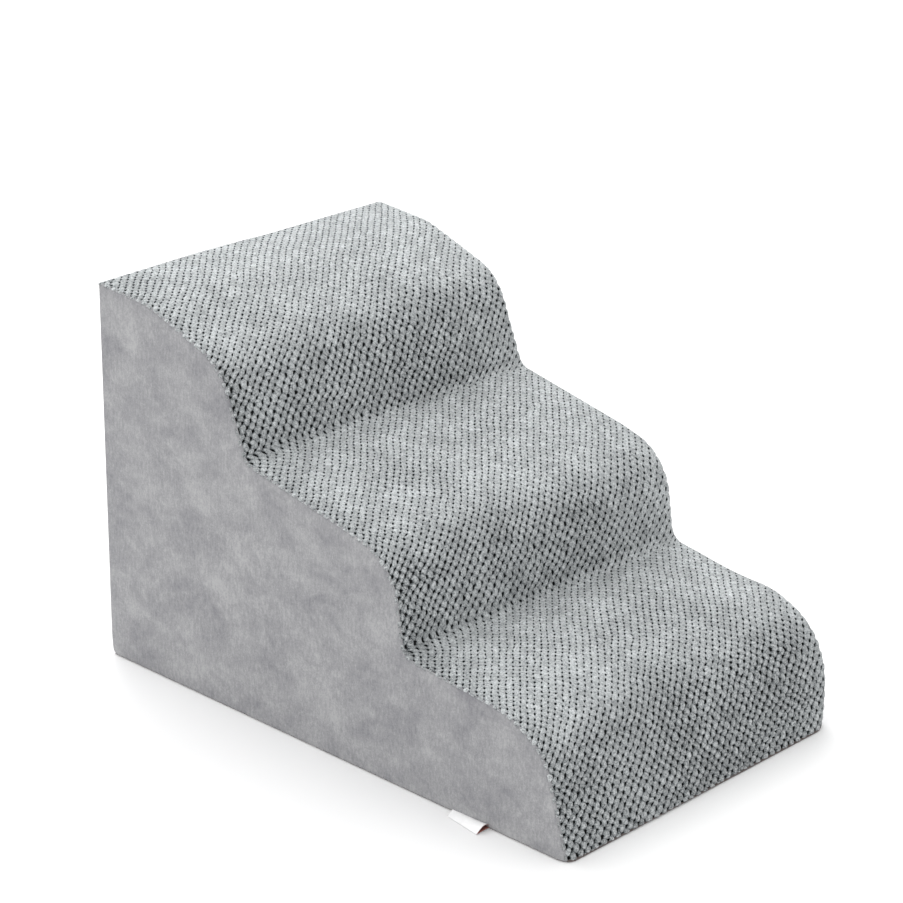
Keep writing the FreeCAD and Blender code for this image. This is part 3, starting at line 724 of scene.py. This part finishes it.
def soften_corners(points):
    """Rounds the cover's four upright corners, widest at the floor where the seams pull in."""
    points = np.array(points, dtype=float)
    height = points[:, 2]
    # The front corners run straight up to here, where the first nose begins
    upright = FIRST_RISE * 0.45
    front = FRONT + np.minimum(height, upright) * math.tan(math.radians(LEANS[0]))
    for side in (-1, 1):
        for end in (-1, 1):
            if end > 0:
                radius = (2.0 + 5.0 * np.exp(-height / (12 * MM))) * MM
                face, top, fade = BACK, HEIGHT, 1.0
            else:
                radius = (3.0 + (10.0 if side < 0 else 24.0) * np.exp(-height / (22 * MM))) * MM
                face, top, fade = front, upright, np.clip((upright - height) / (20 * MM), 0, 1)
            dx = (points[:, 0] * side - (HALF_WIDTH - radius)) / radius
            dy = ((points[:, 1] - face) * end + radius) / radius
            near = (dx > 0) & (dy > 0) & (height < top)
            length = np.sqrt(dx ** 2 + dy ** 2) + 1e-12
            shrink = 1 + (np.maximum(dx, dy) / length - 1) * fade
            x = (HALF_WIDTH - radius + dx * shrink * radius) * side
            y = face - end * radius + end * dy * shrink * radius
            points[:, 0] = np.where(near, x, points[:, 0])
            points[:, 1] = np.where(near, y, points[:, 1])
    return points


# ---- Flat cloth panels with turned edges ----


def panel(name, border, place, material, stands_for, turn, crown, pitch=9 * MM):
    """A cloth panel inside a border (a closed list of 2-D points, counter-clockwise).

    Its edge turns in over turn, it crowns by crown in the middle, and place(u, v, out) gives the
    3-D point for a 2-D point that stands out by out.
    """
    border = np.array(border)
    # Loops of points inside the border, as shares of turn
    rings = [0.0, 0.12, 0.35, 0.7, 1.15, 1.8, 3.0]
    count = len(border)
    tangent = np.roll(border, -1, axis=0) - np.roll(border, 1, axis=0)
    tangent /= np.maximum(np.linalg.norm(tangent, axis=1), 1e-12)[:, None]
    inward = np.stack([-tangent[:, 1], tangent[:, 0]], axis=1)
    low, high = border.min(axis=0), border.max(axis=0)
    span = np.roll(border, -1, axis=0) - border
    long = np.maximum((span ** 2).sum(1), 1e-15)

    def distance(p):
        """Distance of a point from the border."""
        t = np.clip(((p - border) * span).sum(1) / long, 0, 1)
        return np.linalg.norm(border + span * t[:, None] - p, axis=1).min()

    def inside(p):
        """Whether a line from the point towards +u crosses the border an odd number of times."""
        before, after = border[:, 1] > p[1], np.roll(border, -1, axis=0)[:, 1] > p[1]
        crosses = before != after
        where = border[:, 0] + (p[1] - border[:, 1]) / np.where(crosses, span[:, 1], 1.0) * span[:, 0]
        return bool((crosses & (where > p[0])).sum() % 2)

    points = list(border)
    for ring in rings[1:]:
        loop = border + inward * ring * turn
        points += [p for p in loop if inside(p) and distance(p) > ring * turn * 0.93]
    reach = rings[-1] * turn + pitch * 0.4
    for i, u in enumerate(np.arange(low[0], high[0], pitch)):
        for v in np.arange(low[1] + (i % 2) * pitch / 2, high[1], pitch):
            p = np.array([u, v])
            if inside(p) and distance(p) > reach:
                points.append(p)
    outer = [(i, (i + 1) % count) for i in range(count)]
    flat, _, faces = geometry.delaunay_2d_cdt([Vector(p) for p in points], outer, [], 1, 1e-7)[:3]
    flat = np.array([tuple(p) for p in flat])
    depth = np.array([distance(p) for p in flat])
    edge = turn * (np.sqrt(np.clip(1 - (1 - np.clip(depth / turn, 0, 1)) ** 2, 0, 1)) - 1)
    middle = crown * (1 - np.exp(-depth / (60 * MM)))
    solid = soften_corners([place(p[0], p[1], e + m) for p, e, m in zip(flat, edge, middle)])
    return piece(name, solid, faces, material, stands_for)


def side_border(sign):
    """Outline of a side panel in (y, z), counter-clockwise, inset a little inside the kernels."""
    inset = 1.0 * MM
    s = np.linspace(0, TOTAL, 230)
    base, normal = along(s)
    top = base + normal * (belly(sign * HALF_WIDTH, s) - inset)[:, None]
    bottom = 0.5 * MM
    top[0] = (FRONT + inset, bottom)
    corner = 9 * MM
    # The lower rear corner is rounded, the upper one is sharp
    back = BACK - 0.2 * MM
    rear = [(back, z) for z in np.linspace(HEIGHT - inset, bottom + corner, 60)[1:]]
    for a in np.linspace(0, 90, 8)[1:]:
        a = math.radians(a)
        rear.append((back - corner + corner * math.cos(a), bottom + corner - corner * math.sin(a)))
    under = [(y, bottom) for y in np.linspace(back - corner, FRONT + inset, 100)[1:-1]]
    loop = [tuple(p) for p in top] + rear + under
    return loop[::-1]


def sides(material):
    """The two stepped side panels."""
    made = []
    for name, sign in (("left", -1.0), ("right", 1.0)):

        def place(u, v, out, sign=sign):
            return (sign * (HALF_WIDTH + out), u, v)

        made.append(panel(
            "suede_side_" + name, side_border(sign), place, material, ("side_panel_" + name,),
            turn=2.6 * MM, crown=2.2 * MM,
        ))
    return made


def rectangle(low, high, pitch=8 * MM):
    """Closed counter-clockwise rectangle with points along its edges."""

    def line(a, b):
        """Points from a up to b, without b itself."""
        count = max(2, int(math.dist(a, b) / pitch))
        return [(a[0] + (b[0] - a[0]) * i / count, a[1] + (b[1] - a[1]) * i / count) for i in range(count)]

    a, b, c, d = low, (high[0], low[1]), high, (low[0], high[1])
    return line(a, b) + line(b, c) + line(c, d) + line(d, a)


def backs(material):
    """The back panels above and below the zip. The upper one ends just under the plush."""

    def place(u, v, out):
        return (-u, BACK + out, v)

    side = HALF_WIDTH - 0.6 * MM
    made = []
    for name, crown in (("upper", 1.2 * MM), ("lower", 0.3 * MM)):
        low, high = (Vector(c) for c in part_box("back_panel_" + name))
        top = high.z if name == "lower" else HEIGHT - 1.2 * MM
        made.append(panel(
            "suede_back_" + name, rectangle((-side, low.z), (side, top)), place, material,
            ("back_panel_" + name,), turn=1.6 * MM, crown=crown,
        ))
    return made


# ---- Base cloth with its grip dots ----

DOT_PITCH = 11 * MM
DOT_RADIUS = 1.9 * MM
DOT_HEIGHT = 0.5 * MM


def base(cloth, vinyl):
    """The base cloth with a rounded rim, and the vinyl dots that raise it off the floor."""
    bm = bmesh.new()
    bmesh.ops.create_grid(bm, x_segments=130, y_segments=210, size=0.5)
    low = Vector((BASE_LOW.x + 1.2 * MM, BASE_LOW.y + 0.1 * MM))
    high = Vector((BASE_HIGH.x - 1.2 * MM, BASE_HIGH.y - 0.8 * MM))
    for v in bm.verts:
        v.co.x = low.x + (v.co.x + 0.5) * (high.x - low.x)
        v.co.y = low.y + (v.co.y + 0.5) * (high.y - low.y)
        v.co.z = DOT_HEIGHT
    lifted = bmesh.ops.extrude_face_region(bm, geom=list(bm.faces))
    for v in (g for g in lifted["geom"] if isinstance(g, bmesh.types.BMVert)):
        v.co.z = BASE_TOP
    bmesh.ops.recalc_face_normals(bm, faces=bm.faces)
    edges = [e for e in bm.edges if len(e.link_faces) == 2 and e.calc_face_angle(0) > 1.0]
    bmesh.ops.bevel(bm, geom=edges, offset=0.5 * MM, segments=3, affect="EDGES", profile=0.5)
    for v, place in zip(bm.verts, soften_corners([v.co for v in bm.verts])):
        v.co = place
    finish_piece("grip_base", to_mesh(bm, "grip_base"), [cloth], ROOT, ("base_panel",))

    ring = 10
    angles = np.linspace(0, 2 * math.pi, ring, endpoint=False)
    # Share of the dot's radius, and height, of its three rings
    profile = [(1.0, DOT_HEIGHT + 0.1 * MM), (0.92, 0.18 * MM), (0.6, 0.02 * MM)]
    points, faces = [], []
    row_pitch = DOT_PITCH * math.sqrt(3) / 2
    columns = int((high.x - low.x - 2 * DOT_PITCH) / DOT_PITCH)
    rows = int((high.y - low.y - 2 * DOT_PITCH) / row_pitch)
    for r in range(rows + 1):
        for c in range(columns + 1 - r % 2):
            x = (c - columns / 2 + 0.5 * (r % 2)) * DOT_PITCH
            y = (low.y + high.y) / 2 + (r - rows / 2) * row_pitch
            first = len(points)
            for share, z in profile:
                radius = DOT_RADIUS * share
                points += [(x + radius * math.cos(a), y + radius * math.sin(a), z) for a in angles]
            for k in range(len(profile) - 1):
                for i in range(ring):
                    j = (i + 1) % ring
                    a, b = first + k * ring, first + (k + 1) * ring
                    faces.append((a + i, b + i, b + j, a + j))
            faces.append(tuple(first + 2 * ring + i for i in range(ring))[::-1])
    piece("grip_dots", points, faces, vinyl)


# ---- Zip ----

LOOP_PITCH = 1.5 * MM
COIL_WIRE = 0.34 * MM
COIL_STEPS = 14
STITCH_PITCH = 4.0 * MM
STITCH_LENGTH = 3.0 * MM
STITCH_RADIUS = 0.27 * MM


def tube(path, radius, ring=6):
    """Points and faces of a closed-ended tube along a path, of one radius or one for each point."""
    path = np.array(path)
    ahead = np.gradient(path, axis=0)
    ahead /= np.linalg.norm(ahead, axis=1)[:, None]
    side = np.cross(ahead, np.array([0.0, 0.3, 1.0]))
    side /= np.linalg.norm(side, axis=1)[:, None]
    top = np.cross(side, ahead)
    radii = np.broadcast_to(radius, len(path))
    angles = np.linspace(0, 2 * math.pi, ring, endpoint=False)
    points = (
        path[:, None]
        + side[:, None] * (np.cos(angles)[None, :, None] * radii[:, None, None])
        + top[:, None] * (np.sin(angles)[None, :, None] * radii[:, None, None])
    ).reshape(-1, 3)
    faces = []
    for k in range(len(path) - 1):
        for i in range(ring):
            j = (i + 1) % ring
            faces.append((k * ring + i, k * ring + j, (k + 1) * ring + j, (k + 1) * ring + i))
    last = (len(path) - 1) * ring
    faces.append(tuple(range(ring))[::-1])
    faces.append(tuple(last + i for i in range(ring)))
    return points, faces


def coils(material):
    """Two nylon spirals whose loops face each other across the slit that the slider's post needs."""
    middle = (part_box("zip_coil_upper")[0][2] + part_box("zip_coil_lower")[1][2]) / 2
    for name, sign, phase in (("upper", 1.0, 0.0), ("lower", -1.0, 0.5)):
        low, high = (np.array(c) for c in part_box("zip_coil_" + name))
        far = high[2] if sign > 0 else low[2]
        near = middle - sign * 0.35 * MM
        centre_z = (far + near) / 2
        half_z = abs(far - near) / 2 - COIL_WIRE
        centre_y = (low[1] + high[1]) / 2
        half_y = (high[1] - low[1]) / 2 - COIL_WIRE
        turns = int((high[0] - low[0] - 2 * COIL_WIRE) / LOOP_PITCH)
        t = np.arange(0, turns, 1 / COIL_STEPS)
        # Most of the wire's advance happens behind the loop, so that the front strokes stand square
        swing = t * math.tau
        x = low[0] + COIL_WIRE + (t + phase + 0.16 * np.sin(swing)) * LOOP_PITCH
        keep = x < high[0] - COIL_WIRE
        z = centre_z + sign * half_z * np.cos(swing)
        y = centre_y + half_y * np.sin(swing)
        path = np.stack([x, y, z], axis=1)[keep]
        points, faces = tube(path, COIL_WIRE)
        piece("coil_" + name, points, faces, material, ("zip_coil_" + name,))


def stitches(material):
    """Rows of lockstitches beside the zip: each a plump thread that dips in at both ends."""
    t = np.linspace(0, 1, 7)
    radii = STITCH_RADIUS * np.sqrt(np.clip(np.sin(0.15 + t * (math.pi - 0.3)), 0, 1))
    for name in ("upper", "lower"):
        low, high = (np.array(c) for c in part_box("zip_stitches_" + name))
        count = int(round((high[0] - low[0] + STITCH_PITCH - STITCH_LENGTH) / STITCH_PITCH))
        points, faces = [], []
        for k in range(count):
            path = np.stack([
                low[0] + k * STITCH_PITCH + t * STITCH_LENGTH,
                low[1] + (0.32 * np.sin(t * math.pi) - 0.16) * MM,
                (low[2] + high[2]) / 2 + (t - 0.5) * 0.25 * MM,
            ], axis=1)
            more, more_faces = tube(path, radii)
            faces += [tuple(i + len(points) for i in f) for f in more_faces]
            points += [tuple(p) for p in more]
        piece("stitches_" + name, points, faces, material, ("zip_stitches_" + name,))


def softened(name, node, material, body, bevel=0.25 * MM):
    """A copy of a small metal piece with its edges broken, as casting and tumbling leave them."""
    bm = bmesh.new()
    bm.from_mesh(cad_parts[node].data)
    bmesh.ops.remove_doubles(bm, verts=bm.verts, dist=1e-6)
    bmesh.ops.dissolve_limit(bm, angle_limit=math.radians(2), verts=bm.verts, edges=bm.edges)
    sharp = [e for e in bm.edges if len(e.link_faces) == 2 and e.calc_face_angle(0) > math.radians(35)]
    bmesh.ops.bevel(bm, geom=sharp, offset=bevel, segments=2, affect="EDGES", profile=0.6, clamp_overlap=True)
    made = finish_piece(name, to_mesh(bm, name), [material], body, (node,))
    made.modifiers.new("corners", "WEIGHTED_NORMAL")


# ---- Foam ----


def foam_block(node, material):
    """A foam block with its upright corners pressed in by the cover, as they are at the floor."""
    name = node + "_block"
    bm = bmesh.new()
    bm.from_mesh(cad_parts[node].data)
    bmesh.ops.remove_doubles(bm, verts=bm.verts, dist=1e-6)
    # Extra edges, in millimetres: up the corners, across the slack right half and in from each face
    cuts = [((0, 0, z * MM), (0, 0, 1)) for z in (6, 12, 20, 32, 48, 62)]
    cuts += [((x * MM, 0, 0), (1, 0, 0)) for x in (0, 50, 90, 125, 155, 175)]
    for t in (2.5, 4, 6, 9, 13):
        cuts += [((HALF_WIDTH - t * MM, 0, 0), (1, 0, 0)), ((t * MM - HALF_WIDTH, 0, 0), (1, 0, 0))]
        cuts += [((0, FRONT + t * MM, 0), (0, 1, 0)), ((0, BACK - t * MM, 0), (0, 1, 0))]
        cuts += [((0, FRONT + (t + 12) * MM, 0), (0, 1, 0))]
    for point, normal in cuts:
        everything = bm.verts[:] + bm.edges[:] + bm.faces[:]
        bmesh.ops.bisect_plane(bm, geom=everything, plane_co=point, plane_no=normal)
    points = np.array([v.co for v in bm.verts])
    # The foam gives with the slack cover, less the deeper it lies
    for point in points:
        gap = np.linalg.norm(OUTLINE - point[1:], axis=1)
        nearest = int(np.argmin(gap))
        push = belly(point[0], RUN[nearest]) * math.exp(-gap[nearest] / (35 * MM))
        point[1:] += NORMALS[nearest] * min(push, 1.5 * MM)
    for v, place in zip(bm.verts, soften_corners(points)):
        v.co = place
    made = finish_piece(name, to_mesh(bm, name), [material], ROOT, (node,))
    made.data.shade_flat()


# ---- Ribbon label ----


def ribbon_label(face_material, inside_material):
    """A ribbon folded double and caught in the bottom seam, its front half sprung open."""
    low, high = (np.array(c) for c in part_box("side_label"))
    root = -HALF_WIDTH + 0.8 * MM
    across_y = np.linspace(0, 1, 28)
    # The rear end was pushed under when the stair was stood down, so it shows less
    reach = (11.0 + 6.5 * across_y) * MM
    opening = (0.3 + 4.2 * across_y ** 1.5) * MM
    turn = np.linspace(0, 1, 31)
    points = np.zeros((len(across_y), 2 * len(turn) - 1, 3))
    for k, (far, gap) in enumerate(zip(reach, opening)):
        y = high[1] + (low[1] - high[1]) * across_y[k]
        top_x = root - far * turn
        top_z = (3.0 - 1.9 * turn ** 1.4 + gap / MM * np.sin(math.pi * turn ** 0.75) * 0.9) * MM
        under_x = top_x[::-1][1:]
        under_z = (0.75 + 0.35 * np.sin(math.pi * turn[:-1]) + 0.6 * turn[:-1]) * MM
        points[k, :, 0] = np.concatenate([top_x, under_x])
        points[k, :, 1] = y - 3.0 * MM * (1 - across_y[k]) * (root - points[k, :, 0]) / far
        points[k, :, 2] = np.concatenate([top_z, under_z])
    mesh = grid_mesh("ribbon_label", points[:, ::-1])
    made = finish_piece(
        "ribbon_label", mesh, [face_material, inside_material], ROOT, ("side_label",)
    )
    thick = made.modifiers.new("thickness", "SOLIDIFY")
    thick.thickness = 0.3 * MM
    thick.offset = -1.0
    thick.material_offset = 1
    thick.material_offset_rim = 1


# ---- Put it together ----

make_camera()
bpy.context.scene.view_settings.view_transform = "Standard"

FLOOR_REACH = 30.0
corners = [(-1, -1), (1, -1), (1, 1), (-1, 1)]
floor_mesh = bpy.data.meshes.new("floor")
floor_mesh.from_pydata([(x * FLOOR_REACH, y * FLOOR_REACH, 0) for x, y in corners], [], [(0, 1, 2, 3)])
floor_mesh.materials.append(floor_paint())
floor = bpy.data.objects.new("floor", floor_mesh)
bpy.context.collection.objects.link(floor)

world = bpy.data.worlds.new("studio")
bpy.context.scene.world = world
world.use_nodes = True
put(world.node_tree, world.node_tree.nodes["Background"], {"Color": (1, 1, 1, 1), "Strength": 0.95})
area_light("overhead", (0.0, 1.0, 1.8), (0, 0.05, 0.15), 2.2, 20.5)
area_light("left_fill", (-2.6, -0.4, 1.0), (0, 0, 0.1), 1.8, 15)
area_light("far_floor", (3.2, 3.2, 3.0), (3.2, 3.2, 0), 4.0, 130)

suede = micro_suede()
zinc = cast_zinc()

for cover in plush_panel(kernel_plush(), swell_grid()) + sides(suede) + backs(suede):
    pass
base(grip_cloth(), grip_vinyl())
coils(nylon())
stitches(sewing_thread())
softened("slider_cast", "zip_slider", zinc, "slider")
softened("pull_cast", "zip_pull", zinc, "pull")
softened("top_stops_pressed", "zip_top_stops", zinc, ROOT, bevel=0.4 * MM)
softened("bottom_stop_pressed", "zip_bottom_stop", zinc, ROOT, bevel=0.4 * MM)
ribbon_label(
    satin_ribbon("satin_ribbon", "#fbfbfb", "#f1f1f1"),
    satin_ribbon("satin_ribbon_inside", "#a5665a", "#83473e"),
)

tape = twill()
foams = {
    "foam_core": foam("firm_foam", "#e3ddc9", "#bfb69c", 1.6),
    "comfort_layer": foam("soft_foam", "#f1efe6", "#d3cfc0", 1.1),
}
for node, material in foams.items():
    foam_block(node, material)
for node in ("zip_tape_upper", "zip_tape_lower"):
    for held_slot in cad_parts[node].material_slots:
        held_slot.material = tape
